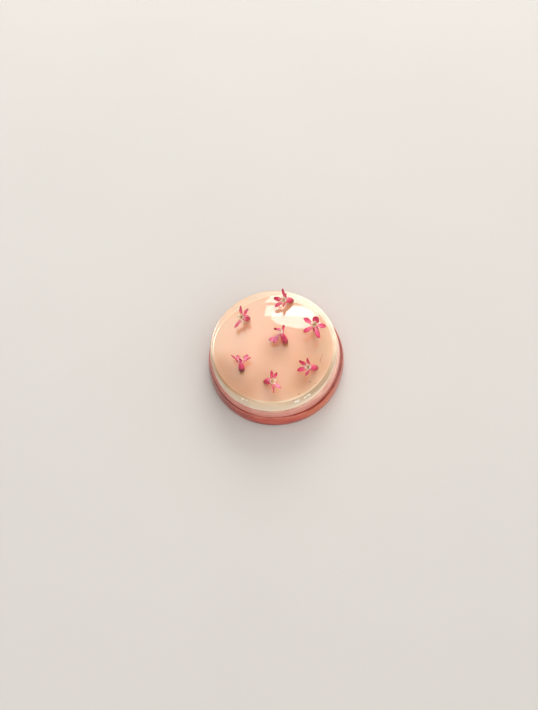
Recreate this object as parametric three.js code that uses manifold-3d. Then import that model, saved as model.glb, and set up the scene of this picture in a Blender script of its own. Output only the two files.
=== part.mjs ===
// Rhubarb pastry: a small round dessert in layers. Two layers wrapped in ribbons of
// rhubarb, a dark pink one at the foot and a pale pink one on it, carry a layer of ivory
// cream with a disc of peach glaze, and seven currant blossoms stand and lie on the glaze.
// Millimetres, +Z up, +Y to the back. The origin is the centre of the foot.

import * as THREE from 'three';
import { mergeVertices } from 'three/addons/utils/BufferGeometryUtils.js';
import Module from 'manifold-3d';

// Driving dimensions of the layers
const FOOT_RADIUS = 38;
const LOWER_WRAP_TOP_RADIUS = 37.1;
const UPPER_WRAP_FOOT_RADIUS = 36.5;
const UPPER_WRAP_TOP_RADIUS = 35.6;
const CREAM_FOOT_RADIUS = 35.2;
const CREAM_TOP_RADIUS = 34.8;
const GLAZE_RADIUS = 33.2;
const LOWER_WRAP_TOP = 8.2;
const UPPER_WRAP_TOP = 13.4;
const CREAM_TOP = 21.4;
const GLAZE_RIM_HEIGHT = 0.7;
const GLAZE_DOME_HEIGHT = 2;
const LOWER_WRAP_SLOPE = -0.015; // the wraps run a little out of level, as rise per mm of +X
const UPPER_WRAP_SLOPE = 0.036;
const LOWER_WRAP_BULGE = 0.25; // how far the side of a layer swells between its edges
const UPPER_WRAP_BULGE = 0.15;
const LAYER_LEAN = [-0.75, 0.5]; // how far the top of the cream has slid along X and Y
const GLAZE_SHIFT = -1.3; // the centre of the glaze
const GLAZE_FLAT_ANGLE = 115; // where its outline is flattest, in degrees
const GLAZE_FLAT_SHARE = 0.078; // how much of its radius is missing there
const LOOSE_WRAP_ANGLE = -25; // where the lower wrap stands off the layer, in degrees
const LOOSE_WRAP_SPREAD = 50;
const LOOSE_WRAP_GAP = 0.5;
const OUTLINE_WAVES = [[2, 0.16, 0.6], [3, 0.1, 0], [5, 0.1, 0]]; // lobes, mm, phase
const LAYER_GAP = 0.05; // between one layer and the next
const FOOT_ROUND = 0.6; // rounded edges
const LOWER_WRAP_ROUND = 0.5;
const UPPER_WRAP_ROUND = 0.3;
const CREAM_SHOULDER = 1.5;
const GLAZE_ROUND = 0.45;
const SEGMENTS = 76;
const GLAZE_RINGS = 6;

// Driving dimensions of the blossoms
const TUBE_RADIUS = 1.65;
const TUBE_SIDES = 10;
const MOUTH_RADIUS = 1.5;
const THROAT_RADIUS = 1;
const THROAT_DEPTH = 1.8;
const SEPAL_ROOT_RADIUS = 1.25;
const BLADE_ROOT_DEPTH = 0.15; // how far below the rim the blades start
const SEPAL_THICKNESS = 0.45;
const SEPAL_CLAW = 0.36; // width at the root, as a share of the full width
const SEPAL_WIDEST = 0.56; // where the tip starts to round off, as a share of the length
const SEPAL_CUP = 0.22; // how far the edges of a sepal rise, as a share of its half width
const SEPAL_WAVE = 0.12; // how far its edges wave, in mm
const SEPAL_STATIONS = 5;
const PETAL_ROOT_RADIUS = 0.95;
const PETAL_LENGTH = 1.9;
const PETAL_WIDTH = 1.3;
const PETAL_THICKNESS = 0.35;
const PISTIL_RADIUS = 0.32;
const PISTIL_HEIGHT = 1.4;
const BLOSSOM_GAP = 0.3; // between a blossom and the glaze

// Each blossom: the centre of its mouth, the way it faces (azimuth from +X towards +Y,
// then elevation), the length of its tube, and its five sepals. A sepal is its place around the mouth, how far it
// opens from the blossom's axis, how far it curls further, its length and width in mm, and
// the twist of its blade at the tip. All angles are in degrees.
const BLOSSOMS = [
  {
    name: 'blossom_back', mouth: [8.4, 24.6, 28.2], facing: [201, 46], length: 6.9,
    sepals: [
      [152, 74, 10, 5.3, 2.4, -20], [-136, 62, 20, 5.9, 2.6, -30], [-88, 52, 10, 5.9, 2.6, 30],
      [-25, 43, 10, 3.3, 2.2, 25], [117, 61, 10, 3.2, 2.0, -35],
    ],
  },
  {
    name: 'blossom_back_left', mouth: [-16.0, 16.2, 29.5], facing: [204, 55], length: 6.9,
    sepals: [
      [147, 52, 60, 5.5, 2.5, -30], [103, 84, 15, 4.6, 2.5, -30], [-71, 87, -25, 6.2, 2.7, 35],
      [66, 133, 40, 3.1, 2.6, -60], [26, 131, 40, 3.3, 2.6, 75],
    ],
  },
  {
    name: 'blossom_right', mouth: [22.6, 6.3, 30.0], facing: [158, 81], length: 6.9,
    sepals: [
      [-110, 67, 10, 6.0, 2.8, 15], [166, 27, 20, 4.4, 4.4, 0], [102, 101, 10, 5.0, 2.9, 0],
      [32, 98, 10, 6.5, 3.0, -40], [-38, 75, 12, 6.0, 2.7, 0],
    ],
  },
  {
    name: 'blossom_front_left', mouth: [-19.1, -9.6, 27.3], facing: [89, 34], length: 5.8,
    sepals: [
      [-23, 42, 6, 6.1, 2.4, 15], [-13, 2, 10, 4.2, 3.0, -40], [84, -2, 30, 2.7, 2.4, -40],
      [-171, 36, 10, 4.7, 3.0, 55], [-169, 62, 6, 4.8, 2.4, 5],
    ],
  },
  {
    name: 'blossom_front', mouth: [-3.9, -23.1, 28.7], facing: [329, 48], length: 6.4,
    sepals: [
      [32, 82, 10, 4.5, 2.4, 25], [6, 54, 15, 4.6, 2.4, 25], [-100, 52, 10, 5.2, 2.6, -25],
      [-144, 45, 60, 5.6, 2.2, -50], [99, 102, 50, 2.1, 2.6, 65],
    ],
  },
  {
    name: 'blossom_front_right', mouth: [17.2, -17.1, 28.0], facing: [192, 46], length: 6.4,
    sepals: [
      [-150, 59, 12, 5.9, 2.4, -30], [159, 56, 25, 3.9, 2.4, -25], [76, 111, 50, 1.1, 2.6, -55],
      [-26, 46, 10, 4.7, 2.4, 5], [-98, 45, 10, 6.0, 2.6, 5],
    ],
  },
  {
    name: 'blossom_middle', mouth: [4.4, 4.3, 29.2], facing: [112, 36], length: 7.4,
    sepals: [
      [164, 19, 15, 4.2, 2.2, -45], [-70, -32, 190, 6.4, 3.0, 40], [-13, 122, -60, 6.9, 2.6, -60],
      [-4, 125, -10, 5.7, 2.5, -70], [79, 125, 50, 3.7, 2.4, 70],
    ],
  },
];

const radians = THREE.MathUtils.degToRad;
const wasm = await Module();
wasm.setup();

// A closed mesh from a three.js geometry: shared corners merged, empty triangles dropped
function closedMesh(geometry) {
  geometry.deleteAttribute('normal');
  geometry.deleteAttribute('uv');
  const merged = mergeVertices(geometry, 1e-4);
  const index = merged.getIndex().array;
  const kept = [];
  for (let i = 0; i < index.length; i += 3) {
    const [a, b, c] = [index[i], index[i + 1], index[i + 2]];
    if (a !== b && b !== c && c !== a) kept.push(a, b, c);
  }
  merged.setIndex(kept);
  return merged;
}

// A solid turned about +Z from a profile of [radius, height] corners that starts and ends
// on the axis, going up its outside
function turned(profile, segments) {
  const points = profile.map(([radius, height]) => new THREE.Vector2(radius, height));
  return closedMesh(new THREE.LatheGeometry(points, segments).rotateX(Math.PI / 2));
}

// Corners of a rounded edge, as a quarter turn about its centre from one angle to another
function roundedEdge(radius, height, round, fromDegrees, toDegrees, steps) {
  const corners = [];
  for (let i = 0; i <= steps; i += 1) {
    const angle = radians(fromDegrees + ((toDegrees - fromDegrees) * i) / steps);
    corners.push([radius - round + round * Math.cos(angle), height + round * Math.sin(angle)]);
  }
  return corners;
}

// Corners up the side of a layer between its two edges, given as [radius, height]
function bulgingSide([footRadius, foot], [topRadius, top], bulge, corners) {
  return Array.from({ length: corners }, (_, i) => {
    const share = (i + 1) / (corners + 1);
    const radius = footRadius + (topRadius - footRadius) * share;
    return [radius + bulge * Math.sin(Math.PI * share), foot + (top - foot) * share];
  });
}

// The heights of the layers' borders are level by design, and lie on sloping planes in the
// pastry. Between two borders the height is shared out evenly.
const BORDERS = [
  { height: 0, slope: 0 },
  { height: LOWER_WRAP_TOP, slope: LOWER_WRAP_SLOPE },
  { height: UPPER_WRAP_TOP, slope: UPPER_WRAP_SLOPE },
  { height: CREAM_TOP, slope: 0 },
];

function slopedHeight(x, height) {
  for (let i = 1; i < BORDERS.length; i += 1) {
    const [low, high] = [BORDERS[i - 1], BORDERS[i]];
    if (height <= high.height) {
      const share = (height - low.height) / (high.height - low.height);
      return height + x * (low.slope + (high.slope - low.slope) * share);
    }
  }
  return height;
}

// How far the outline stands out of the true circle at an angle, in mm
function outlineWave(angle) {
  return OUTLINE_WAVES.reduce((sum, [lobes, mm, phase]) => sum + mm * Math.sin(lobes * angle + phase), 0);
}

function looseWrap(angle, height) {
  const away = (angle - radians(LOOSE_WRAP_ANGLE)) / radians(LOOSE_WRAP_SPREAD);
  return LOOSE_WRAP_GAP * Math.exp(-away * away) * (height / LOWER_WRAP_TOP);
}

// Gives a turned layer its uneven outline, its sloping borders and its lean
function handmade(geometry, { loose = false } = {}) {
  const position = geometry.getAttribute('position');
  for (let i = 0; i < position.count; i += 1) {
    const [x, y, z] = [position.getX(i), position.getY(i), position.getZ(i)];
    const radius = Math.hypot(x, y);
    const angle = Math.atan2(y, x);
    const share = radius / FOOT_RADIUS;
    const out = share * share * (outlineWave(angle) + (loose ? looseWrap(angle, z) : 0));
    const grown = radius > 0 ? 1 + out / radius : 1;
    const [leanX, leanY] = LAYER_LEAN.map((slid) => (slid * z) / CREAM_TOP);
    position.setXYZ(i, x * grown + leanX, y * grown + leanY, slopedHeight(x, z));
  }
  return geometry;
}

function lowerWrap() {
  const low = FOOT_ROUND;
  const high = LOWER_WRAP_TOP - LOWER_WRAP_ROUND;
  return handmade(turned([
    [0, 0],
    ...roundedEdge(FOOT_RADIUS, low, FOOT_ROUND, -90, 0, 2),
    ...bulgingSide([FOOT_RADIUS, low], [LOWER_WRAP_TOP_RADIUS, high], LOWER_WRAP_BULGE, 2),
    ...roundedEdge(LOWER_WRAP_TOP_RADIUS, high, LOWER_WRAP_ROUND, 0, 90, 2),
    [0, LOWER_WRAP_TOP],
  ], SEGMENTS), { loose: true });
}

function upperWrap() {
  const bottom = LOWER_WRAP_TOP + LAYER_GAP;
  const low = bottom + UPPER_WRAP_ROUND;
  const high = UPPER_WRAP_TOP - UPPER_WRAP_ROUND;
  return handmade(turned([
    [0, bottom],
    ...roundedEdge(UPPER_WRAP_FOOT_RADIUS, low, UPPER_WRAP_ROUND, -90, 0, 1),
    ...bulgingSide([UPPER_WRAP_FOOT_RADIUS, low], [UPPER_WRAP_TOP_RADIUS, high], UPPER_WRAP_BULGE, 1),
    ...roundedEdge(UPPER_WRAP_TOP_RADIUS, high, UPPER_WRAP_ROUND, 0, 90, 2),
    [0, UPPER_WRAP_TOP],
  ], SEGMENTS));
}

function cream() {
  const bottom = UPPER_WRAP_TOP + LAYER_GAP;
  const low = bottom + UPPER_WRAP_ROUND;
  const high = CREAM_TOP - CREAM_SHOULDER;
  return handmade(turned([
    [0, bottom],
    ...roundedEdge(CREAM_FOOT_RADIUS, low, UPPER_WRAP_ROUND, -90, 0, 1),
    ...bulgingSide([CREAM_FOOT_RADIUS, low], [CREAM_TOP_RADIUS, high], 0, 1),
    ...roundedEdge(CREAM_TOP_RADIUS, high, CREAM_SHOULDER, 0, 90, 4),
    [0, CREAM_TOP],
  ], SEGMENTS));
}

// The radius of the glaze at an angle, as a share of its full radius
function glazeReach(x, y) {
  const away = Math.atan2(y, x) - radians(GLAZE_FLAT_ANGLE);
  return 1 - GLAZE_FLAT_SHARE * Math.exp(5 * (Math.cos(away) - 1));
}

// Height of the glaze's top surface over a point of the pastry
function glazeHeight(x, y) {
  const share = Math.hypot(x - GLAZE_SHIFT, y) / (GLAZE_RADIUS * glazeReach(x - GLAZE_SHIFT, y));
  return CREAM_TOP + GLAZE_RIM_HEIGHT + GLAZE_DOME_HEIGHT * (1 - share * share);
}

function glaze() {
  const bottom = CREAM_TOP + LAYER_GAP;
  const high = CREAM_TOP + GLAZE_RIM_HEIGHT - GLAZE_ROUND;
  const dome = Array.from({ length: GLAZE_RINGS }, (_, i) => {
    const radius = (GLAZE_RADIUS - GLAZE_ROUND) * (1 - (i + 1) / GLAZE_RINGS);
    const share = radius / GLAZE_RADIUS;
    return [radius, CREAM_TOP + GLAZE_RIM_HEIGHT + GLAZE_DOME_HEIGHT * (1 - share * share)];
  });
  const geometry = turned([
    [0, bottom],
    [GLAZE_RADIUS, bottom],
    ...roundedEdge(GLAZE_RADIUS, high, GLAZE_ROUND, 0, 80, 3),
    ...dome,
  ], SEGMENTS);
  const position = geometry.getAttribute('position');
  for (let i = 0; i < position.count; i += 1) {
    const [x, y] = [position.getX(i), position.getY(i)];
    const reach = glazeReach(x, y);
    position.setXY(i, x * reach + GLAZE_SHIFT, y * reach);
  }
  return geometry;
}

// A thin blade from rows of corners: each row gives its middle, its side direction, its
// half width and the way its face looks, and has corners at the same shares of that half
// width. Both faces have the same triangles.
function blade(rows, thickness, across) {
  const wavesPerRow = 2.2;
  const vertices = [];
  for (const face of [1, -1]) {
    rows.forEach(({ middle, side, normal, half }, row) => {
      for (const t of across) {
        const lift = SEPAL_CUP * half * t * t + SEPAL_WAVE * t * Math.sin(wavesPerRow * row);
        const point = middle.clone().addScaledVector(side, half * t);
        point.addScaledVector(normal, lift + (face * thickness) / 2);
        vertices.push(point.x, point.y, point.z);
      }
    });
  }
  const columns = across.length;
  const faceSize = rows.length * columns;
  const index = [];
  for (let row = 0; row < rows.length - 1; row += 1) {
    for (let column = 0; column < columns - 1; column += 1) {
      const a = row * columns + column;
      const [b, c, d] = [a + 1, a + columns, a + columns + 1];
      index.push(a, b, d, a, d, c);
      index.push(...[a, d, b, a, c, d].map((corner) => corner + faceSize));
    }
  }
  const rim = [];
  for (let column = 0; column < columns - 1; column += 1) rim.push(column);
  for (let row = 0; row < rows.length - 1; row += 1) rim.push(row * columns + columns - 1);
  for (let column = columns - 1; column > 0; column -= 1) rim.push((rows.length - 1) * columns + column);
  for (let row = rows.length - 1; row > 0; row -= 1) rim.push(row * columns);
  rim.forEach((a, i) => {
    const b = rim[(i + 1) % rim.length];
    index.push(a, b + faceSize, b, a, a + faceSize, b + faceSize);
  });
  const geometry = new THREE.BufferGeometry();
  geometry.setAttribute('position', new THREE.Float32BufferAttribute(vertices, 3));
  geometry.setIndex(index);
  return geometry;
}

// Width of a sepal along its length, as a share of its full width: a narrow claw, a broad
// middle and a round tip
function sepalWidth(t) {
  const claw = Math.min(1, SEPAL_CLAW + 1.25 * t);
  const pastWidest = Math.max(0, (t - SEPAL_WIDEST) / (1 - SEPAL_WIDEST));
  return claw * Math.sqrt(Math.max(0.03, 1 - pastWidest ** 2));
}

// Rows of a leaf-like blade that starts near the mouth's rim and opens away from the axis
function bladeRows({ around, opening, curl, length, width, twist, start, stations, widthAt }) {
  const outward = new THREE.Vector3(Math.cos(radians(around)), Math.sin(radians(around)), 0);
  const across = new THREE.Vector3(-outward.y, outward.x, 0);
  const axis = new THREE.Vector3(0, 0, 1);
  const middle = outward.clone().multiplyScalar(start).addScaledVector(axis, -BLADE_ROOT_DEPTH);
  const rows = [];
  for (let i = 0; i <= stations; i += 1) {
    const t = i / stations;
    const open = radians(opening + curl * t);
    const along = axis.clone().multiplyScalar(Math.cos(open)).addScaledVector(outward, Math.sin(open));
    const turn = radians(twist * t ** 0.7);
    const side = across.clone().applyAxisAngle(along, turn);
    const normal = new THREE.Vector3().crossVectors(along, side);
    rows.push({ middle: middle.clone(), side: side.negate(), normal, half: (width / 2) * widthAt(t) });
    middle.addScaledVector(along, length / stations);
  }
  return rows;
}

function sepal([around, opening, curl, length, width, twist]) {
  return blade(bladeRows({
    around, opening, curl, length, width, twist,
    start: SEPAL_ROOT_RADIUS, stations: SEPAL_STATIONS, widthAt: sepalWidth,
  }), SEPAL_THICKNESS, [-1, -0.4, 0.4, 1]);
}

function innerPetal(around) {
  return blade(bladeRows({
    around, opening: 12, curl: 22, length: PETAL_LENGTH, width: PETAL_WIDTH, twist: 0,
    start: PETAL_ROOT_RADIUS, stations: 2, widthAt: (t) => 1 - 0.45 * t * t,
  }), PETAL_THICKNESS, [-1, 0, 1]);
}

// The tube with its swollen green base, open at the mouth as a shallow throat
function tube(length) {
  const below = (share) => -length * share;
  return turned([
    [0, below(1)],
    [TUBE_RADIUS * 0.55, below(0.99)],
    [TUBE_RADIUS * 0.66, below(0.89)],
    [TUBE_RADIUS * 0.85, below(0.8)],
    [TUBE_RADIUS * 0.98, below(0.68)],
    [TUBE_RADIUS, below(0.5)],
    [TUBE_RADIUS * 0.91, below(0.3)],
    [TUBE_RADIUS * 0.74, below(0.12)],
    [MOUTH_RADIUS, 0],
    [THROAT_RADIUS, 0],
    [THROAT_RADIUS * 0.75, -THROAT_DEPTH],
    [0, -THROAT_DEPTH],
  ], TUBE_SIDES);
}

function pistil() {
  const tip = 0.3;
  const foot = -THROAT_DEPTH - tip;
  return turned([
    [0, foot],
    [PISTIL_RADIUS, foot],
    [PISTIL_RADIUS, PISTIL_HEIGHT - tip],
    [PISTIL_RADIUS * 0.7, PISTIL_HEIGHT],
    [0, PISTIL_HEIGHT],
  ], 5);
}

function toManifold(geometry) {
  return new wasm.Manifold(new wasm.Mesh({
    numProp: 3,
    vertProperties: new Float32Array(geometry.getAttribute('position').array),
    triVerts: new Uint32Array(geometry.getIndex().array),
  }));
}

// The outer shell of a joined solid alone, so that a hollow sealed between petals is filled
function fromManifold(solid) {
  const shells = solid.decompose();
  const mesh = shells.reduce((best, shell) => (shell.volume() > best.volume() ? shell : best)).getMesh();
  const geometry = new THREE.BufferGeometry();
  geometry.setAttribute('position', new THREE.Float32BufferAttribute(mesh.vertProperties, 3));
  geometry.setIndex(Array.from(mesh.triVerts));
  return geometry;
}

// The turn from a blossom's own frame, with its axis on +Z, to the way it faces
function facingTurn([azimuth, elevation]) {
  const [a, e] = [radians(azimuth), radians(elevation)];
  const axis = new THREE.Vector3(Math.cos(e) * Math.cos(a), Math.cos(e) * Math.sin(a), Math.sin(e));
  const level = new THREE.Vector3(-Math.sin(a), Math.cos(a), 0);
  return new THREE.Matrix4().makeBasis(level, new THREE.Vector3().crossVectors(axis, level), axis);
}

// One blossom: tube, sepals, inner petals and pistil joined, turned the way it faces, and
// set down so that its lowest point stands just clear of the glaze
function blossom({ mouth, facing, length, sepals }) {
  let solid = toManifold(tube(length));
  solid = solid.add(toManifold(pistil()));
  sepals.forEach((shape, i) => {
    solid = solid.add(toManifold(sepal(shape)));
    solid = solid.add(toManifold(innerPetal(36 + 72 * i)));
  });
  const geometry = fromManifold(solid);
  geometry.applyMatrix4(facingTurn(facing));
  geometry.translate(...mouth);
  const position = geometry.getAttribute('position');
  let lowest = Infinity;
  for (let i = 0; i < position.count; i += 1) {
    lowest = Math.min(lowest, position.getZ(i) - glazeHeight(position.getX(i), position.getY(i)));
  }
  return geometry.translate(0, 0, BLOSSOM_GAP - lowest);
}

const lowerWrapMaterial = new THREE.MeshStandardMaterial({ color: 0xb5564a, roughness: 0.35 });
const upperWrapMaterial = new THREE.MeshStandardMaterial({ color: 0xd38f7d, roughness: 0.35 });
const creamMaterial = new THREE.MeshStandardMaterial({ color: 0xdec5a6, roughness: 0.3 });
const glazeMaterial = new THREE.MeshStandardMaterial({ color: 0xecbb9a, roughness: 0.08 });
const blossomMaterial = new THREE.MeshStandardMaterial({ color: 0xd9506c, roughness: 0.6 });

const pastry = new THREE.Group();

function addPiece(name, geometry, material) {
  geometry.computeVertexNormals();
  const mesh = new THREE.Mesh(geometry, material);
  mesh.name = name;
  pastry.add(mesh);
}

addPiece('lower_rhubarb_layer', lowerWrap(), lowerWrapMaterial);
addPiece('upper_rhubarb_layer', upperWrap(), upperWrapMaterial);
addPiece('cream_layer', cream(), creamMaterial);
addPiece('peach_glaze', glaze(), glazeMaterial);
for (const each of BLOSSOMS) addPiece(each.name, blossom(each), blossomMaterial);

export default pastry;
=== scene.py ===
# Rhubarb pastry: the looks of a small layered dessert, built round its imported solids.
# From the foot up: two rhubarb layers wrapped in ribbons, a layer of cream, a disc of
# peach glaze, and seven currant blossoms. Metres, +Z up, +Y to the back.

import math

import bmesh
import bpy
from mathutils import Matrix, Vector, noise


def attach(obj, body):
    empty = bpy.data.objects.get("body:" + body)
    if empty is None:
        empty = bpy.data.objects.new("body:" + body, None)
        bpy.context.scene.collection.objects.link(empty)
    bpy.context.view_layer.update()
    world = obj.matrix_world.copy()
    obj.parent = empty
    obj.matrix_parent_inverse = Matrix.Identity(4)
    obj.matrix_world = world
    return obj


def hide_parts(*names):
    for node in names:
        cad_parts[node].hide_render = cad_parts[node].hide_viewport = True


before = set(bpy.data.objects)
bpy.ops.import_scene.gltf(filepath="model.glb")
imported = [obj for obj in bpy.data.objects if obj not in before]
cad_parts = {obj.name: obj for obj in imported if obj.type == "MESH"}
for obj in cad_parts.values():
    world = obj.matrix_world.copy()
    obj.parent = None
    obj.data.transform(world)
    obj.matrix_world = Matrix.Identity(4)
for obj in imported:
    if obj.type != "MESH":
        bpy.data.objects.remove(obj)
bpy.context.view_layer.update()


# Camera
# A 50 mm view from in front and high above, rolled a little, as the pastry was
# photographed.

mm = 0.001  # sizes are written in millimetres from here on
CAMERA_AT = Vector((-3.64, -227.05, 511.45)) * mm
LOOKS_DOWN = math.radians(65.58)
ROLL = math.radians(-6.18)
LENS = 50  # the camera takes its lens and the width of its film in mm
FILM_WIDTH = 36

camera = bpy.data.objects.new("camera", bpy.data.cameras.new("camera"))
camera.data.lens = LENS
camera.data.sensor_width = FILM_WIDTH
camera.data.clip_start = 10 * mm
camera.matrix_world = (
    Matrix.Translation(CAMERA_AT)
    @ Matrix.Rotation(math.pi / 2 - LOOKS_DOWN, 4, "X")
    @ Matrix.Rotation(ROLL, 4, "Z")
)
bpy.context.collection.objects.link(camera)
bpy.context.scene.camera = camera
bpy.context.scene.view_settings.view_transform = "Standard"


# Studio light
# Soft light from a window behind and a little to the right, whose panes and arched top show
# in the glaze, and pale walls all round that are brightest at the front right.

WINDOW_AWAY = 1500 * mm
ARCH_AWAY = 1.02 * WINDOW_AWAY
WINDOW_RADIANCE = 7
WALL_RADIANCE = 6
LEFT_WALL_RADIANCE = 2.6 * WALL_RADIANCE
DAYLIGHT_RADIANCE = 4.7
WALL_LIGHT_LEAST = 0.3
WALL_LIGHT_MOST = 1.32
BRIGHTEST_WALL = (0.88, -0.46, 0.1)  # direction
# Bright places of the walls that are seen only in what shines: direction, how narrow, strength
GLOWS = [((-0.42, 0.45, 0.79), 0.8, 2.1), ((0.0, 0.6, 0.8), 0.94, 1.3)]
BACKDROP = 0.72
DAYLIGHT = (1.0, 0.985, 0.96)
WALL_COLOUR = (1, 0.985, 0.965, 1)


def towards(azimuth, elevation):
    """The direction of an azimuth, right of straight behind, and an elevation, in degrees."""
    turn, rise = math.radians(azimuth), math.radians(elevation)
    return Vector((math.sin(turn) * math.cos(rise), math.cos(turn) * math.cos(rise), math.sin(rise)))


def hang_lamp(name, azimuth, elevation, away, radiance, shape="RECTANGLE"):
    """A flat lamp that fills a range of azimuths and of elevations, as seen from the pastry."""
    middle = [sum(azimuth) / 2, sum(elevation) / 2]
    lamp = bpy.data.lights.new(name, "AREA")
    lamp.shape = shape
    wide = math.radians(azimuth[1] - azimuth[0]) * math.cos(math.radians(middle[1]))
    lamp.size = 2 * away * math.tan(wide / 2)
    lamp.size_y = 2 * away * math.tan(math.radians(elevation[1] - elevation[0]) / 2)
    area = lamp.size * lamp.size_y * (math.pi / 4 if shape == "ELLIPSE" else 1)
    lamp.energy = radiance * math.pi * area
    lamp.color = DAYLIGHT
    holder = bpy.data.objects.new(name, lamp)
    place = towards(*middle) * away
    holder.matrix_world = Matrix.Translation(place) @ place.to_track_quat("Z", "Y").to_matrix().to_4x4()
    holder.visible_camera = False
    bpy.context.collection.objects.link(holder)
    return holder


# What the shining surfaces mirror: the window, and pale walls low at the back
mirrored = [
    hang_lamp("window_low_pane", (-1.5, 27), (43, 50.9), WINDOW_AWAY, WINDOW_RADIANCE),
    hang_lamp("window_high_pane", (-2.8, 26), (51.8, 55.6), WINDOW_AWAY, WINDOW_RADIANCE),
    hang_lamp("window_arch", (0, 29), (52.2, 59.6), ARCH_AWAY, WINDOW_RADIANCE, shape="ELLIPSE"),
    hang_lamp("wall_back_right", (10, 60), (6, 44), WINDOW_AWAY, WALL_RADIANCE),
    hang_lamp("wall_back_left", (-58, -34), (8, 38), WINDOW_AWAY, LEFT_WALL_RADIANCE),
]
for lamp in mirrored:
    lamp.visible_diffuse = False
# What lights the pastry: daylight from the whole window
daylight = hang_lamp("daylight", (-10, 32), (18, 50), WINDOW_AWAY, DAYLIGHT_RADIANCE)
daylight.visible_glossy = False


def add(tree, kind, inputs=None, **settings):
    """Adds a shader node. Its inputs are given as values or as the sockets that feed them."""
    node = tree.nodes.new("ShaderNode" + kind)
    for name, value in settings.items():
        setattr(node, name, value)
    for name, value in (inputs or {}).items():
        if isinstance(value, bpy.types.NodeSocket):
            tree.links.new(value, node.inputs[name])
        else:
            node.inputs[name].default_value = value
    return node


def reckon(tree, operation, *values):
    """The result of a sum on values, which are numbers or sockets."""
    return add(tree, "Math", dict(enumerate(values)), operation=operation).outputs[0]


world = bpy.data.worlds.new("pale_walls")
world.use_nodes = True
tree = world.node_tree
direction = add(tree, "TexCoord").outputs["Generated"]
facing = add(tree, "VectorMath", {0: direction, 1: BRIGHTEST_WALL}, operation="DOT_PRODUCT").outputs["Value"]
walls = add(tree, "MapRange", {
    "Value": facing, "From Min": -1, "From Max": 1, "To Min": WALL_LIGHT_LEAST, "To Max": WALL_LIGHT_MOST,
}).outputs["Result"]
ray = add(tree, "LightPath").outputs
light = walls
for glow_at, narrow, strength in GLOWS:
    near_glow = add(tree, "VectorMath", {0: direction, 1: glow_at}, operation="DOT_PRODUCT").outputs["Value"]
    glow = add(tree, "MapRange", {
        "Value": near_glow, "From Min": narrow, "From Max": 1, "To Max": strength,
    }, interpolation_type="SMOOTHSTEP").outputs["Result"]
    light = reckon(tree, "ADD", light, reckon(tree, "MULTIPLY", glow, ray["Is Glossy Ray"]))
seen = add(tree, "Mix", {"Factor": ray["Is Camera Ray"], "A": light, "B": BACKDROP}).outputs["Result"]
tree.links.new(seen, tree.nodes["Background"].inputs["Strength"])
tree.nodes["Background"].inputs["Color"].default_value = WALL_COLOUR
bpy.context.scene.world = world


# Table
# A plain pale tabletop that the pastry stands on, wide enough to fill every view.

TABLE_SIZE = 20000 * mm


def paint(red, green, blue):
    """A colour as a shader takes it, from its screen values of 0 to 255."""
    parts = [value / 255 for value in (red, green, blue)]
    return (*[p / 12.92 if p <= 0.04045 else ((p + 0.055) / 1.055) ** 2.4 for p in parts], 1)


def new_material(name, roughness):
    """A material with its node tree and its shader."""
    material = bpy.data.materials.new(name)
    material.use_nodes = True
    shader = material.node_tree.nodes["Principled BSDF"]
    shader.inputs["Roughness"].default_value = roughness
    return material, material.node_tree, shader


def make_object(mesh, name, materials, smooth_below=40):
    """Turns a finished bmesh into an object at the origin, smooth but for its sharp edges."""
    data = bpy.data.meshes.new(name)
    mesh.to_mesh(data)
    mesh.free()
    for material in materials:
        data.materials.append(material)
    data.shade_smooth()
    data.set_sharp_from_angle(angle=math.radians(smooth_below))
    piece = bpy.data.objects.new(name, data)
    bpy.context.collection.objects.link(piece)
    return piece


def clouds_over(tree, place, scale, detail=2.0):
    """A soft cloudy pattern, from 0 to 1."""
    return add(tree, "TexNoise", {"Vector": place, "Scale": scale, "Detail": detail}).outputs["Fac"]


table_paint, tree, shader = new_material("pale_tabletop", 0.8)
shader.inputs["Specular IOR Level"].default_value = 0.2
place = add(tree, "TexCoord").outputs["Object"]
shade = add(tree, "ValToRGB", {"Fac": clouds_over(tree, place, 9.0, 4.0)})
shade.color_ramp.elements[0].color = paint(212, 208, 203)
shade.color_ramp.elements[1].color = paint(218, 214, 209)
tree.links.new(shade.outputs["Color"], shader.inputs["Base Color"])

mesh = bmesh.new()
bmesh.ops.create_grid(mesh, x_segments=4, y_segments=4, size=TABLE_SIZE / 2)
table = make_object(mesh, "tabletop", [table_paint])


# Lower rhubarb layer
# Stewed rhubarb set in a ring and wrapped in one broad dark pink ribbon of the stalk. The
# ribbon hugs the layer but stands off it at the front right, which leaves a groove.

FOOT_RADIUS = 38
FOOT_ROUND = 0.6
LOWER_TOP = 8.2
LOWER_TOP_RADIUS = 37.1
LOWER_BULGE = 0.25
LOWER_RIBBON = 0.45  # its thickness
GROOVE_RADIUS = 36.1
GROOVE_DEPTH = 0.9
GROOVE_FADE = 0.7  # how fast the groove gets shallow away from its middle
GROOVE_FOOT = LOWER_TOP - GROOVE_DEPTH
LOWER_RIBBON_INSIDE = LOWER_TOP_RADIUS - LOWER_RIBBON
RIBBON_EDGE = 0.18  # rounding of a ribbon's top edge
LOOSE_ANGLE = math.radians(-25)
LOOSE_SPREAD = math.radians(50)
LOOSE_GAP = 1.1
SYRUP_REACH = 1.1  # how far along the groove the syrup shows, in spreads
TINT_SHARE = 0.8  # how strongly a ribbon is tinted in the middle of a spot
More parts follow.
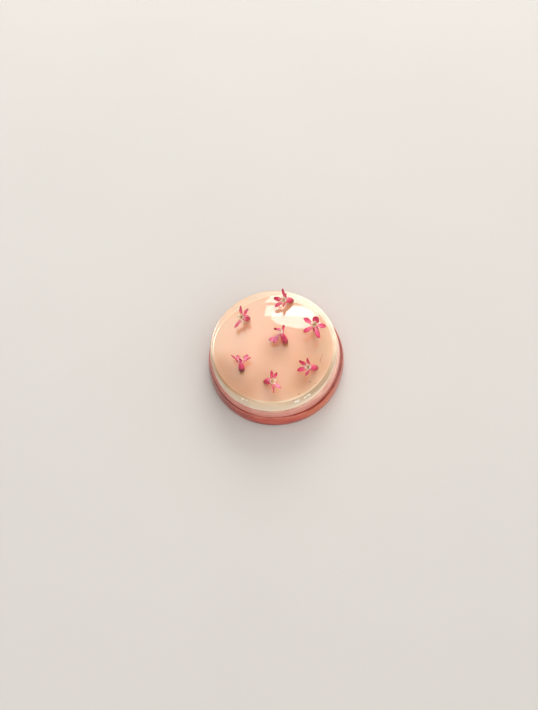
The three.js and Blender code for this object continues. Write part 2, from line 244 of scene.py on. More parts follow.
# Ridges of the stalk: height, length round and width across in mm, and turn in radians
LOWER_RIDGES = [(0.09, 26, 1.3, 0), (0.04, 14, 0.5, 2)]
LOWER_WAVER = (0.14, 9, 1, 0)  # the same for the way the top edge wavers
WAVER_DEPTH = 1  # how far down from its top the edge wavers
OUTLINE_WAVES = [(2, 0.16, 0.6), (3, 0.1, 0), (5, 0.1, 0)]  # lobes, mm, phase
LEAN = (-0.75, 0.5)  # how far the top of the cream has slid along X and Y
BORDERS = [(0, 0), (8.2, -0.015), (13.4, 0.036), (21.4, 0)]  # height, and rise per mm of +X
TURN_STEPS = 360
SAME = 0.01  # lengths nearer to each other than this are the same, in mm
MERGE = 0.001  # corners nearer to each other than this are made one
SEAM = 0.05  # how far the foot of a layer lies below or above the top of the one under it


def sloped_height(x, height):
    """The height that a level line of the design has where the borders run out of level."""
    for (low, low_slope), (high, high_slope) in zip(BORDERS, BORDERS[1:]):
        if height <= high:
            share = (height - low) / (high - low)
            return height + x * (low_slope + (high_slope - low_slope) * share)
    return height


def rounded(radius, height, size, start, end, steps):
    """Corners of a rounded edge that just reaches the radius, between two angles in degrees."""
    angles = [math.radians(start + (end - start) * i / steps) for i in range(steps + 1)]
    return [(radius - size + size * math.cos(a), height + size * math.sin(a)) for a in angles]


def bulging(foot, top, bulge, count):
    """Corners up the side of a layer between its two edges."""
    corners = []
    for i in range(count):
        share = (i + 1) / (count + 1)
        radius = foot[0] + (top[0] - foot[0]) * share + bulge * math.sin(math.pi * share)
        corners.append((radius, foot[1] + (top[1] - foot[1]) * share))
    return corners


def turned(corners):
    """A closed solid turned about the pastry's axis, from corners that start and end on it."""
    mesh = bmesh.new()
    line = [mesh.verts.new((radius * mm, 0, height * mm)) for radius, height in corners]
    for one, other in zip(line, line[1:]):
        mesh.edges.new((one, other))
    bmesh.ops.spin(
        mesh, geom=mesh.verts[:] + mesh.edges[:], cent=(0, 0, 0), axis=(0, 0, 1), dvec=(0, 0, 0),
        angle=math.tau, steps=TURN_STEPS, use_merge=True,
    )
    bmesh.ops.remove_doubles(mesh, verts=mesh.verts[:], dist=MERGE * mm)
    bmesh.ops.recalc_face_normals(mesh, faces=mesh.faces[:])
    return mesh


def handmade(mesh, relief):
    """Gives a turned layer its uneven outline, sloping borders, lean and a relief of its own."""
    for vert in mesh.verts:
        x, y, z = vert.co / mm
        radius, angle = math.hypot(x, y), math.atan2(y, x)
        wave = sum(size * math.sin(lobes * angle + phase) for lobes, size, phase in OUTLINE_WAVES)
        out, up = relief(radius, angle, z)
        grown = 1 + ((radius / FOOT_RADIUS) ** 2 * wave + out) / radius if radius > 0 else 1
        slid = z / BORDERS[-1][0]
        place = (x * grown + LEAN[0] * slid, y * grown + LEAN[1] * slid, sloped_height(x, z) + up)
        vert.co = Vector(place) * mm
    return mesh


def ridges(angle, height, tall, length, width, turn):
    """Long ridges round a layer: length is along the ribbon and width across it, in mm."""
    angle += turn
    reach = FOOT_RADIUS / length
    return tall * noise.noise(Vector((reach * math.cos(angle), reach * math.sin(angle), height / width)))


def lower_relief(radius, angle, height):
    """The loose stretch of the ribbon, the ridges of the stalk in it, and its wavering top edge."""
    away = (angle - LOOSE_ANGLE) / LOOSE_SPREAD
    open_share = math.exp(-away * away)
    on_ribbon = radius > GROOVE_RADIUS + SAME
    if abs(height - GROOVE_FOOT) < SAME and radius < LOWER_RIBBON_INSIDE + SAME:
        wide = open_share * LOOSE_GAP if on_ribbon else 0
        return wide, (1 - open_share) ** GROOVE_FADE * GROOVE_DEPTH
    if not on_ribbon or height < FOOT_ROUND:
        return 0, 0
    ridge = sum(ridges(angle, height, *sizes) for sizes in LOWER_RIDGES)
    edge = ridges(angle, 0, *LOWER_WAVER) if height > LOWER_TOP - WAVER_DEPTH else 0
    return open_share * LOOSE_GAP * height / LOWER_TOP + ridge, edge


def ribbon_fibres():
    """The fibres and stripes of a rhubarb ribbon, which run round the pastry with its borders."""
    group = bpy.data.node_groups.new("ribbon_fibres", "ShaderNodeTree")
    for name in ("Slope", "Stripe Width"):
        group.interface.new_socket(name=name, in_out="INPUT", socket_type="NodeSocketFloat")
    for name in ("Height", "Stripes", "Fibres"):
        group.interface.new_socket(name=name, in_out="OUTPUT", socket_type="NodeSocketFloat")
    source = group.nodes.new("NodeGroupInput")
    result = group.nodes.new("NodeGroupOutput")
    parts = add(group, "SeparateXYZ", {"Vector": add(group, "TexCoord").outputs["Object"]}).outputs
    slant = reckon(group, "MULTIPLY", parts["X"], source.outputs["Slope"])
    height = reckon(group, "SUBTRACT", parts["Z"], slant)
    group.links.new(height, result.inputs["Height"])
    level = reckon(group, "DIVIDE", height, source.outputs["Stripe Width"])
    # How fine each pattern is round the pastry and up its side, and how rough
    for name, along, across, detail in (("Stripes", 55.0, 1.0, 3.0), ("Fibres", 220.0, 5.0, 2.0)):
        stretched = add(group, "CombineXYZ", {
            "X": reckon(group, "MULTIPLY", parts["X"], along),
            "Y": reckon(group, "MULTIPLY", parts["Y"], along),
            "Z": reckon(group, "MULTIPLY", level, across),
        }).outputs[0]
        group.links.new(clouds_over(group, stretched, 1.0, detail), result.inputs[name])
    return group


FIBRES = ribbon_fibres()


def ramp(tree, value, stops):
    """A colour that follows a value through stops of place and colour."""
    node = add(tree, "ValToRGB", {"Fac": value})
    elements = node.color_ramp.elements
    while len(elements) > 1:
        elements.remove(elements[-1])
    elements[0].position, elements[0].color = stops[0]
    for place, colour in stops[1:]:
        elements.new(place).color = colour
    return node.outputs["Color"]


def spread(tree, value, low, high, most=1.0, interpolation="LINEAR"):
    """A value from low to high brought to the range from 0 to the most."""
    return add(tree, "MapRange", {
        "Value": value, "From Min": low, "From Max": high, "To Max": most,
    }, interpolation_type=interpolation).outputs["Result"]


def nearness(tree, place, spot, reach, full, most):
    """A share that rises smoothly from none, at a reach from a spot in mm, to the most."""
    inputs = {0: place, 1: Vector(spot) * mm}
    distance = add(tree, "VectorMath", inputs, operation="DISTANCE").outputs["Value"]
    return spread(tree, distance, reach * mm, full * mm, most, "SMOOTHSTEP")


def blend(tree, share, first, second):
    """Two colours mixed by a share."""
    node = add(tree, "Mix", data_type="RGBA")
    for socket, value in zip((node.inputs[0], node.inputs[6], node.inputs[7]), (share, first, second)):
        if isinstance(value, bpy.types.NodeSocket):
            tree.links.new(value, socket)
        else:
            socket.default_value = value
    return node.outputs[2]


def let_light_in(shader, share, reaches, depth):
    """Lets a share of the light into a moist skin, to a depth in mm times each colour's reach."""
    shader.inputs["Subsurface Weight"].default_value = share
    shader.inputs["Subsurface Radius"].default_value = reaches
    shader.inputs["Subsurface Scale"].default_value = depth * mm


def ribbon_material(name, slope, low, high, stripe_width, body, pale, deep, tints):
    """Moist rhubarb ribbon: its colour up the side, tinted in places, with stripes along it."""
    material, tree, shader = new_material(name, 0.3)
    fibres = tree.nodes.new("ShaderNodeGroup")
    fibres.node_tree = FIBRES
    fibres.inputs["Slope"].default_value = slope
    fibres.inputs["Stripe Width"].default_value = stripe_width * mm
    colour = ramp(tree, spread(tree, fibres.outputs["Height"], low * mm, high * mm), body)
    place = add(tree, "TexCoord").outputs["Object"]
    for spot, reach, tint in tints:
        colour = blend(tree, nearness(tree, place, spot, reach, reach / 2, TINT_SHARE), colour, tint)
    colour = blend(tree, spread(tree, fibres.outputs["Stripes"], 0.5, 0.72, 0.7), colour, pale)
    colour = blend(tree, spread(tree, fibres.outputs["Stripes"], 0.49, 0.32, 0.8), colour, deep)
    colour = blend(tree, spread(tree, fibres.outputs["Fibres"], 0.55, 0.9), colour, pale)
    tree.links.new(colour, shader.inputs["Base Color"])
    bump = add(tree, "Bump", {"Height": fibres.outputs["Fibres"], "Strength": 0.35, "Distance": 0.12 * mm})
    tree.links.new(bump.outputs["Normal"], shader.inputs["Normal"])
    let_light_in(shader, 0.3, (1.0, 0.25, 0.15), 1.5)
    shader.inputs["Coat Weight"].default_value = 0.4
    shader.inputs["Coat Roughness"].default_value = 0.12
    return material


def place_piece(piece, slot, *nodes):
    """Lets a finished piece ride on the pastry and stand for its solids."""
    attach(piece, "root")
    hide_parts(*nodes)


lower_ribbon = ribbon_material(
    "dark_rhubarb_ribbon", slope=-0.012, low=0, high=LOWER_TOP, stripe_width=0.75,
    # Darker towards the foot: painted shade where the ribbon meets the table. Paler at the top edge: a
    # painted highlight where the ledge catches the light.
    body=[
        (0, paint(112, 30, 28)), (0.12, paint(140, 40, 34)), (0.32, paint(188, 58, 46)),
        (0.75, paint(202, 80, 58)), (0.93, paint(206, 92, 70)), (0.97, paint(218, 136, 116)),
    ],
    pale=paint(226, 130, 108), deep=paint(158, 32, 26),
    tints=[  # place and reach in mm, and colour
        ((24, -29, 4), 17, paint(196, 98, 46)), ((38, -6, 6), 24, paint(184, 110, 94)),
        # The two dark spots at the left are painted shade, on the side turned from the light.
        ((-35, -14, 4), 18, paint(116, 22, 18)), ((-26, -28, 4), 15, paint(144, 34, 24)),
    ],
)
groove_syrup, tree, shader = new_material("rhubarb_syrup", 0.2)
place = add(tree, "TexCoord").outputs["Object"]
pools = clouds_over(tree, place, 160.0, 3.0)
syrup = ramp(tree, pools, [(0.35, paint(142, 40, 20)), (0.65, paint(184, 76, 42))])
tree.links.new(syrup, shader.inputs["Base Color"])
shader.inputs["Coat Weight"].default_value = 0.5

edge_height = LOWER_TOP - RIBBON_EDGE
mesh = turned([
    (0, 0),
    *rounded(FOOT_RADIUS, FOOT_ROUND, FOOT_ROUND, -90, 0, 4),
    *bulging((FOOT_RADIUS, FOOT_ROUND), (LOWER_TOP_RADIUS, edge_height), LOWER_BULGE, 26),
    *rounded(LOWER_TOP_RADIUS, edge_height, RIBBON_EDGE, 0, 90, 3),
    *rounded(LOWER_RIBBON_INSIDE + 2 * RIBBON_EDGE, edge_height, RIBBON_EDGE, 90, 180, 3),
    (LOWER_RIBBON_INSIDE, GROOVE_FOOT),
    (GROOVE_RADIUS, GROOVE_FOOT),
    (GROOVE_RADIUS, LOWER_TOP),
    (0, LOWER_TOP),
])
for face in mesh.faces:
    middle = face.calc_center_median() / mm
    away = abs(math.atan2(middle.y, middle.x) - LOOSE_ANGLE) / LOOSE_SPREAD
    if middle.xy.length < LOWER_RIBBON_INSIDE + SAME and middle.z > FOOT_ROUND and away < SYRUP_REACH:
        face.material_index = 1
handmade(mesh, lower_relief)
lower_layer = make_object(mesh, "lower_rhubarb", [lower_ribbon, groove_syrup], 60)
place_piece(lower_layer, "lower_rhubarb", "lower_rhubarb_layer")


# Upper rhubarb layer
# A paler rhubarb mousse wrapped in a pale pink ribbon, whose rounded top edge meets the
# foot of the cream.

UPPER_FOOT_RADIUS = 36.5
UPPER_TOP = 13.4
UPPER_TOP_RADIUS = 35.6
UPPER_BULGE = 0.15
UPPER_FOOT_ROUND = 0.15
UPPER_EDGE = 0.3  # rounding of its top edge
UPPER_RIDGES = [(0.09, 26, 1.1, 4), (0.03, 14, 0.4, 5)]  # set as on the lower ribbon
UPPER_WAVER = (0.12, 11, 1, 1)
# A paler tint along the right of the ribbon's top edge, in spots: azimuths, and how far out,
# how high and how wide they are in mm
PALE_EDGE = range(78, 144, 7)
PALE_EDGE_OUT = 36
PALE_EDGE_HEIGHT = 17
PALE_EDGE_REACH = 6.6


def upper_relief(radius, angle, height):
    """The ridges of the pale ribbon and its wavering top edge."""
    if radius < UPPER_TOP_RADIUS - UPPER_EDGE - SAME or height < LOWER_TOP + UPPER_EDGE:
        return 0, 0
    ridge = sum(ridges(angle, height, *sizes) for sizes in UPPER_RIDGES)
    edge = ridges(angle, 0, *UPPER_WAVER) if height > UPPER_TOP - 2 * UPPER_EDGE else 0
    return ridge, edge


# The two darker spots at the left are painted shade, on the side turned from the light.
tints = [((-34, -13, 10), 18, paint(194, 86, 70)), ((-25, -26, 10), 14, paint(206, 112, 94))]
for azimuth in PALE_EDGE:
    spot = towards(azimuth, 0) * PALE_EDGE_OUT + Vector((0, 0, PALE_EDGE_HEIGHT))
    tints.append((spot, PALE_EDGE_REACH, paint(250, 206, 182)))
upper_ribbon = ribbon_material(
    "pale_rhubarb_ribbon", slope=0.012, low=LOWER_TOP, high=UPPER_TOP, stripe_width=0.5,
    body=[
        (0, paint(221, 146, 130)), (0.2, paint(220, 142, 128)), (0.85, paint(221, 154, 136)),
        (0.97, paint(232, 184, 162)),
    ],
    pale=paint(238, 184, 172), deep=paint(196, 106, 94), tints=tints,
)
foot = LOWER_TOP - SEAM
side_foot = foot + UPPER_FOOT_ROUND
edge_height = UPPER_TOP - UPPER_EDGE
mesh = turned([
    (0, foot),
    *rounded(UPPER_FOOT_RADIUS, side_foot, UPPER_FOOT_ROUND, -90, 0, 3),
    *bulging((UPPER_FOOT_RADIUS, side_foot), (UPPER_TOP_RADIUS, edge_height), UPPER_BULGE, 18),
    *rounded(UPPER_TOP_RADIUS, edge_height, UPPER_EDGE, 0, 90, 4),
    (0, UPPER_TOP),
])
handmade(mesh, upper_relief)
upper_layer = make_object(mesh, "upper_rhubarb", [upper_ribbon], 60)
place_piece(upper_layer, "upper_rhubarb", "upper_rhubarb_layer")


# Cream layer
# Ivory cream set in the ring, with a soft rounded shoulder and a thin skin of gel that
# makes it shine.

CREAM_FOOT_RADIUS = 35.2
CREAM_TOP_RADIUS = 34.8
CREAM_TOP = 21.4
CREAM_SHOULDER = 1.5
CREAM_FOOT_ROUND = 0.3
CREAM_WAVES = (0.08, 7, 5, 0)  # set as the ridges of a ribbon
CREAM_COLOURS_FROM = 12.4  # the height that the wall's colours start at
GEL_RISE = 4  # how much higher the gel's lower border runs at the right
GEL_RISES = (6, 30)  # it rises between these places along X
# Where the top of the cream is darkest: at the front right the gel's own olive colour, at the left
# painted shade where the wall turns from the light. Place, how far it reaches, how strong, and how far down
# from the top
DARK_GEL_AND_SHADE = [((23, -25, 21.4), 30, 1.2, 4.4), ((-31, -15, 21.4), 24, 0.7, 4)]
DARKEST_DEPTH = 0.3  # how far below the top it is at its full strength


def cream_relief(radius, angle, height):
    """The slight unevenness of the cream's wall."""
    if radius < CREAM_TOP_RADIUS - CREAM_SHOULDER or height < UPPER_TOP + CREAM_FOOT_ROUND:
        return 0, 0
    return ridges(angle, height, *CREAM_WAVES), 0


cream_skin, tree, shader = new_material("ivory_cream", 0.28)
place = add(tree, "TexCoord").outputs["Object"]
parts = add(tree, "SeparateXYZ", {"Vector": place}).outputs
gel_starts = spread(tree, parts["X"], GEL_RISES[0] * mm, GEL_RISES[1] * mm, GEL_RISE * mm)
height = reckon(tree, "SUBTRACT", parts["Z"], gel_starts)
wall = ramp(tree, spread(tree, height, CREAM_COLOURS_FROM * mm, CREAM_TOP * mm), [
    (0, paint(238, 184, 160)), (0.12, paint(250, 220, 196)), (0.3, paint(255, 232, 210)),
    (0.42, paint(242, 220, 192)), (0.8, paint(240, 218, 188)), (0.95, paint(236, 206, 174)),
    (1, paint(230, 190, 156)),
])
patches = clouds_over(tree, place, 110.0, 4.0)
wall = blend(tree, spread(tree, patches, 0.52, 0.8), wall, paint(206, 180, 150))
# Darker gel at the front right, and painted shade at the left where the wall turns from the light.
for spot, reach, share, deep in DARK_GEL_AND_SHADE:
    near = nearness(tree, place, spot, reach, 0, share)
    upward = spread(tree, parts["Z"], (CREAM_TOP - deep) * mm, (CREAM_TOP - DARKEST_DEPTH) * mm)
    wall = blend(tree, reckon(tree, "MULTIPLY", near, upward), wall, paint(192, 160, 124))
tree.links.new(wall, shader.inputs["Base Color"])
let_light_in(shader, 0.5, (1.0, 0.85, 0.7), 0.8)
shader.inputs["Coat Weight"].default_value = 0.3
shader.inputs["Coat Roughness"].default_value = 0.1

foot = UPPER_TOP + SEAM
side_foot = foot + CREAM_FOOT_ROUND
shoulder_height = CREAM_TOP - CREAM_SHOULDER
mesh = turned([
    (0, foot),
    *rounded(CREAM_FOOT_RADIUS, side_foot, CREAM_FOOT_ROUND, -90, 0, 2),
    *bulging((CREAM_FOOT_RADIUS, side_foot), (CREAM_TOP_RADIUS, shoulder_height), 0, 14),
    *rounded(CREAM_TOP_RADIUS, shoulder_height, CREAM_SHOULDER, 0, 90, 10),
    (0, CREAM_TOP),
])
handmade(mesh, cream_relief)
cream = make_object(mesh, "cream", [cream_skin], 60)
place_piece(cream, "cream", "cream_layer")


# Peach glaze
# A disc of set peach glaze on the cream, thin at its rim and a little domed, with a
# surface like a mirror.

GLAZE_SHIFT = -1.3  # its centre along X
GLAZE_RADIUS = 33.2
GLAZE_RIM_HEIGHT = 0.7
GLAZE_DOME_HEIGHT = 2
GLAZE_FLAT_ANGLE = math.radians(115)  # where its outline is flattest
GLAZE_FLAT_SHARE = 0.078  # how much of its radius is missing there
GLAZE_FLAT_FADE = 5  # how fast the flat stretch ends
GLAZE_ROUND = 0.6
GLAZE_ROUND_STRETCH = 2  # the rounding at the rim is this much wider than it is high
GLAZE_RINGS = 30
# The painted highlight along the glaze's rim, which comes up between these places along X, towards the left
RIM_FADES = (30, 8)  # the pale rim comes up between these places along X, towards the left
# Browner places on the glaze, mostly painted shade: where its front left turns from the light
# and where the blossoms cast shadows; in the middle, the glaze's own browner tone. Place in mm,
# how far it reaches, and how strong it is
BROWNER_GLAZE_AND_SHADE = [
    ((-32, -9, 22.5), 13, 0.65), ((-29, -18, 22.5), 16, 0.9), ((-20, -25, 22.5), 14, 0.7),
    ((-10, -17, 23.4), 13, 0.3), ((-4, -31, 22.3), 7, 0.15), ((12, -23, 22.6), 9, 0.35),
    ((25, -16, 22.4), 10, 0.2), ((0, -4, 23.9), 13, 0.45),
]


def glaze_reach(x, y):
    """The radius of the glaze's outline towards a point, as a share of its full radius."""
    away = math.atan2(y, x) - GLAZE_FLAT_ANGLE
    return 1 - GLAZE_FLAT_SHARE * math.exp(GLAZE_FLAT_FADE * (math.cos(away) - 1))


def dome_height(share):
    """Height of the glaze's top at a share of the way from its middle to its outline, in mm."""
    return CREAM_TOP + GLAZE_RIM_HEIGHT + GLAZE_DOME_HEIGHT * (1 - share * share)


def glaze_height(x, y):
    """Height of the glaze's top over a point of the pastry, in mm."""
    return dome_height(math.hypot(x - GLAZE_SHIFT, y) / (GLAZE_RADIUS * glaze_reach(x - GLAZE_SHIFT, y)))


glaze_gel, tree, shader = new_material("peach_gel", 0.03)
parts = add(tree, "SeparateXYZ", {"Vector": add(tree, "UVMap", uv_map="share").outputs["UV"]}).outputs
share_out = parts["X"]
# A painted highlight: the rim of the glaze is paler where its rounded edge catches the light.
rim = ramp(tree, share_out, [
    (0.93, paint(237, 188, 153)), (0.965, paint(236, 185, 149)), (0.978, paint(246, 208, 173)),
    (1, paint(252, 230, 200)),
])
place = add(tree, "TexCoord").outputs["Object"]
body = ramp(tree, clouds_over(tree, place, 45.0), [(0.4, paint(237, 188, 154)), (1, paint(230, 176, 140))])
rightward = add(tree, "SeparateXYZ", {"Vector": place}).outputs["X"]
leftward = spread(tree, rightward, RIM_FADES[0] * mm, RIM_FADES[1] * mm)
body = blend(tree, reckon(tree, "MULTIPLY", spread(tree, share_out, 0.95, 0.97), leftward), body, rim)
# Painted shade: the glaze browns where it turns from the light and under the blossoms' shadows.
for spot, reach, share in BROWNER_GLAZE_AND_SHADE:
    body = blend(tree, nearness(tree, place, spot, reach, 0, share), body, paint(190, 128, 78))
tree.links.new(body, shader.inputs["Base Color"])
tree.links.new(spread(tree, share_out, 1, 0.88, 0.9), shader.inputs["Subsurface Weight"])
shader.inputs["Subsurface Radius"].default_value = (1.0, 0.5, 0.3)
shader.inputs["Subsurface Scale"].default_value = 2.5 * mm
shader.inputs["IOR"].default_value = 1.58

foot = CREAM_TOP - SEAM
edge_height = CREAM_TOP + GLAZE_RIM_HEIGHT - GLAZE_ROUND
corners = [(0, foot), (GLAZE_RADIUS, foot)]
for radius, height in rounded(GLAZE_RADIUS, edge_height, GLAZE_ROUND, 0, 85, 10):
    corners.append((GLAZE_RADIUS + (radius - GLAZE_RADIUS) * GLAZE_ROUND_STRETCH, height))
for i in range(GLAZE_RINGS):
    radius = (GLAZE_RADIUS - GLAZE_ROUND_STRETCH * GLAZE_ROUND) * (1 - (i + 1) / GLAZE_RINGS)
    corners.append((radius, dome_height(radius / GLAZE_RADIUS)))
mesh = turned(corners)
# The map holds how far out each corner lies, as a share of the radius
share_map = mesh.loops.layers.uv.new("share")
for face in mesh.faces:
    for loop in face.loops:
        loop[share_map].uv = (loop.vert.co.xy.length / (GLAZE_RADIUS * mm), 0.5)
for vert in mesh.verts:
    reach = glaze_reach(vert.co.x, vert.co.y)
    vert.co.x, vert.co.y = vert.co.x * reach + GLAZE_SHIFT * mm, vert.co.y * reach
glaze = make_object(mesh, "peach_disc", [glaze_gel], 60)
place_piece(glaze, "glaze", "peach_glaze")


# Specks, a stalk and drops of gel with painted glints
# A few brown specks and a short bent stalk show in the skin of the glaze, and the gel has
# run together into drops on the cream's shoulder at the front, painted near white as glints.

SPECKS = [(10.1, -29.6, 0.45), (16.7, -23.4, 0.5), (19.5, -24.5, 0.3), (7.0, -33.0, 0.3)]  # x, y and radius
SPECK_SHAPE = (1, 0.7, 0.15, 1)
# Drops: angle round the cream in degrees, height, and half the length round and across
DROPS = [
    (-75.5, 20.5, 1.0, 0.6), (-73.5, 20.2, 0.8, 0.6), (-72.5, 20.8, 0.5, 0.35), (-66.5, 20.6, 0.9, 0.45),
    (-64, 20.9, 0.5, 0.35), (-62, 20.7, 0.9, 0.5), (-124, 20.6, 0.9, 0.4), (-120, 20.8, 0.5, 0.3),
]
DROP_RISE = 0.35  # how far a drop stands out of the cream
STALK_START = Vector((25.4, -8))
STALK_RUNS = Vector((-0.55, -0.83, 0))  # its direction where it starts
STALK_BEND = 14  # radius of its bend
STALK_ANGLE = math.radians(22)
STALK_RADIUS = 0.12


def mottled(name, roughness, first, second, size):
    """A material that wanders between two colours in patches of a size in mm."""
    material, tree, shader = new_material(name, roughness)
    place = add(tree, "TexCoord").outputs["Object"]
    patches = clouds_over(tree, place, 1 / (size * mm))
    tree.links.new(ramp(tree, patches, [(0.35, first), (0.65, second)]), shader.inputs["Base Color"])
    return material


speck_skin = mottled("speck", 0.5, paint(200, 124, 80), paint(160, 92, 58), 0.5)
stalk_skin = mottled("stalk", 0.4, paint(206, 138, 92), paint(188, 114, 70), 1.5)
# Near white: a painted glint of light on the wet drops.
glint_drop_skin = mottled("gel_drop_painted_glint", 0.1, paint(255, 252, 240), paint(255, 244, 226), 0.6)

mesh = bmesh.new()
for x, y, radius in SPECKS:
    flat = Matrix.Translation(Vector((x, y, glaze_height(x, y))) * mm) @ Matrix.Diagonal(SPECK_SHAPE)
    bmesh.ops.create_icosphere(mesh, subdivisions=2, radius=radius * mm, matrix=flat)
specks = make_object(mesh, "glaze_specks", [speck_skin])
place_piece(specks, "glaze", "peach_glaze")

mesh = bmesh.new()
start = Vector((*STALK_START, glaze_height(*STALK_START))) * mm
across = Matrix.Translation(start) @ STALK_RUNS.to_track_quat("Z", "Y").to_matrix().to_4x4()
ring = bmesh.ops.create_circle(mesh, cap_ends=True, segments=8, radius=STALK_RADIUS * mm, matrix=across)
bmesh.ops.spin(
    mesh, geom=ring["verts"] + mesh.edges[:] + mesh.faces[:],
    cent=start + STALK_RUNS.cross(Vector((0, 0, -1))) * STALK_BEND * mm,
    axis=(0, 0, 1), dvec=(0, 0, 0), angle=STALK_ANGLE, steps=8,
)
bmesh.ops.recalc_face_normals(mesh, faces=mesh.faces[:])
for vert in mesh.verts:
    vert.co.z += (glaze_height(vert.co.x / mm, vert.co.y / mm) - glaze_height(*STALK_START)) * mm
stalk = make_object(mesh, "glaze_stalk", [stalk_skin])
place_piece(stalk, "glaze", "peach_glaze")

mesh = bmesh.new()
for degrees, height, length, across in DROPS:
    angle = math.radians(degrees)
    rise = math.asin((height - CREAM_TOP + CREAM_SHOULDER) / CREAM_SHOULDER)
    radius = CREAM_TOP_RADIUS - CREAM_SHOULDER + CREAM_SHOULDER * math.cos(rise)
    place = Vector((radius * math.cos(angle) + LEAN[0], radius * math.sin(angle) + LEAN[1], height)) * mm
    lying = Matrix.Rotation(angle, 4, "Z") @ Matrix.Rotation(-rise, 4, "Y")
    bmesh.ops.create_icosphere(
        mesh, subdivisions=3, radius=mm,
        matrix=Matrix.Translation(place) @ lying @ Matrix.Diagonal((DROP_RISE, length, across, 1)),
    )
drops = make_object(mesh, "gel_drops", [glint_drop_skin])
place_piece(drops, "cream", "cream_layer")


# Currant blossoms
# Seven flowering currant blossoms set down by hand. Each is a tube with a swollen green,
# brown or red base, which opens into five pink sepals round five small white petals and
# the stamens.

TUBE_RADIUS = 1.65
TUBE_SIDES = 20
MOUTH_RADIUS = 1.5
THROAT_RADIUS = 1
THROAT_DEPTH = 1.8
# The tube's outline from its foot up: radius, and how far below the mouth, as shares
TUBE_OUTLINE = [
    (0.0, 1.0), (0.35, 0.998), (0.55, 0.98), (0.62, 0.94), (0.66, 0.88), (0.74, 0.84), (0.86, 0.79),
    (0.97, 0.7), (1.0, 0.58), (0.99, 0.46), (0.93, 0.32), (0.82, 0.2), (0.74, 0.12), (0.75, 0.06),
]
# The mouth's outline from its rim down into the throat: radius and height in mm
MOUTH_OUTLINE = [
    (MOUTH_RADIUS * 0.96, -0.05), (MOUTH_RADIUS, 0), (THROAT_RADIUS * 1.15, 0.02), (THROAT_RADIUS, -0.15),
    (THROAT_RADIUS * 0.85, -THROAT_DEPTH / 2), (THROAT_RADIUS * 0.7, -THROAT_DEPTH), (0, -THROAT_DEPTH),
]
SEPAL_ROOT = 1.25
BLADE_ROOT_DEPTH = 0.15  # how far below the rim the blades start
SEPAL_THICKNESS = 0.3
SEPAL_CLAW = 0.36  # width at the root, as a share of the full width
SEPAL_WIDENS = 1.25  # how fast it gets wider from there
SEPAL_WIDEST = 0.56  # where the tip starts to round off, as a share of the length
SEPAL_TIP = 0.03  # the square of the least width at the tip, as a share
TWIST_FADE = 0.7  # how fast a blade's twist builds up
BLADE_CUP = 0.22  # how far the edges of a blade rise, as a share of its half width
BLADE_WAVE = 0.12  # how far its edges wave, in mm
BLADE_WAVES = 11
BLADE_CREASE = 0.07  # depth of the crease along its middle
CREASE_WIDTH = 0.25  # as a share of the half width
PETAL_ROOT = 0.95
PETAL_OPENING = 12  # degrees
PETAL_CURL = 22
PETAL_LENGTH = 2.3
PETAL_WIDTH = 1.4
PETAL_TAPER = 0.45
PETAL_THICKNESS = 0.16
STAMEN_ROOT = 0.7  # out from the axis
STAMEN_ROOT_DEPTH = 0.8
STAMEN_LEAN = math.radians(20)
STAMEN_SPREAD = 0.5  # how much longer or shorter a stamen is than its blossom's others
STAMEN_STEP = 2.4  # how that changes from one stamen to the next, as an angle of a wave
FILAMENT_RADII = (0.13, 0.09)  # at its root and at its tip
ANTHER_RADIUS = 0.22
ANTHER_SHAPE = (1, 0.75, 1.4, 1)
PISTIL_HEIGHT = 1.4
PISTIL_RADII = (0.32, 0.16)
SINKS_IN = 0.05  # how far a blossom's lowest point sinks into the glaze

